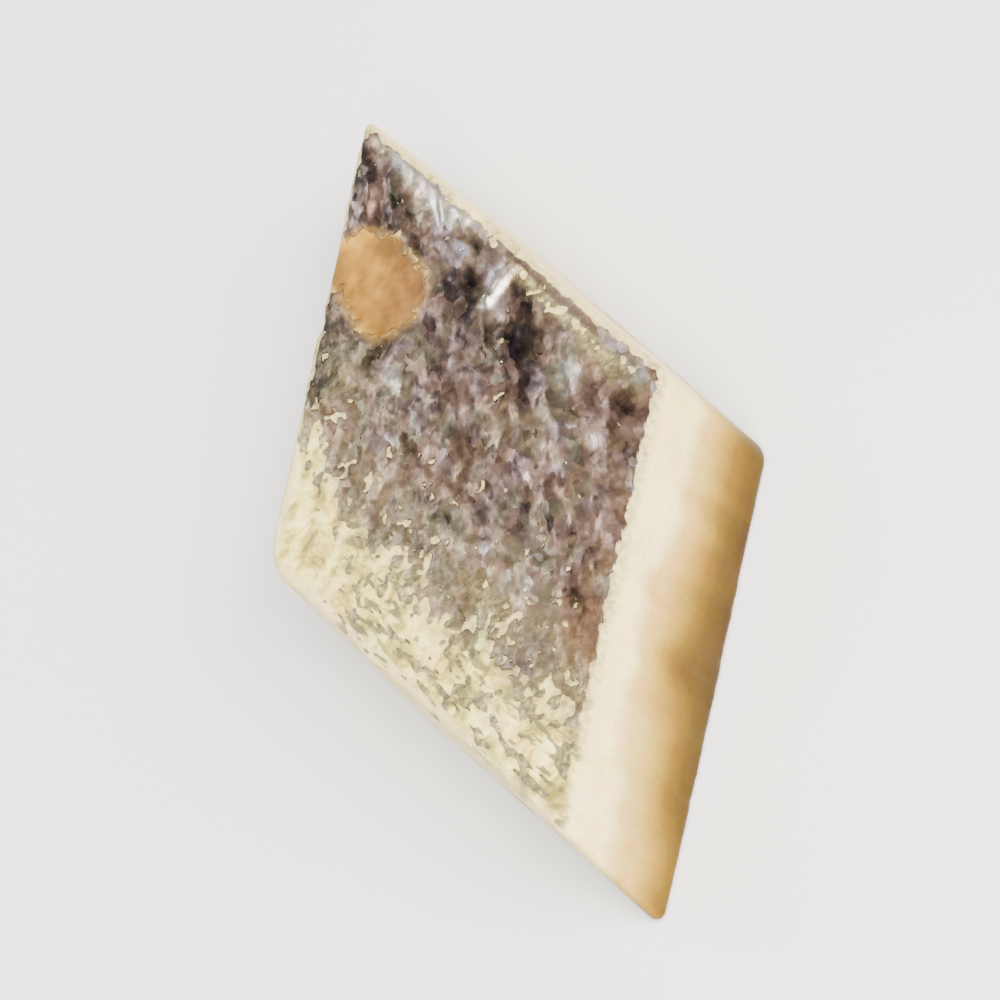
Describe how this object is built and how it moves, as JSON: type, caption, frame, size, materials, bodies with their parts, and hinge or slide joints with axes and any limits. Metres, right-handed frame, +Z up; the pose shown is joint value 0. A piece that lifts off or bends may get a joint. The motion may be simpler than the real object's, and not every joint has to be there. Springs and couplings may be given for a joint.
{
  "type": "barfi",
  "caption": "Diamond-cut piece of cashew barfi with beaten silver leaf on its face, lying flat with the leaf up.",
  "frame": {"origin": "centre of the bounding box in X and Y, on the flat base the piece lies on", "axes": "+Z up through the thickness to the leafed face, +Y along the long diagonal to the point that is far in the picture, +X to the right-hand corner"},
  "size_m": [0.0324, 0.0648, 0.0117],
  "materials": {
    "cashew_paste": "smooth cut paste with a faint oily sheen",
    "silver_leaf": "beaten leaf, crumpled and tarnished to warm grey"
  },
  "bodies": {
    "root": {"barfi_slab": "cashew_paste"}
  },
  "joints": []
}
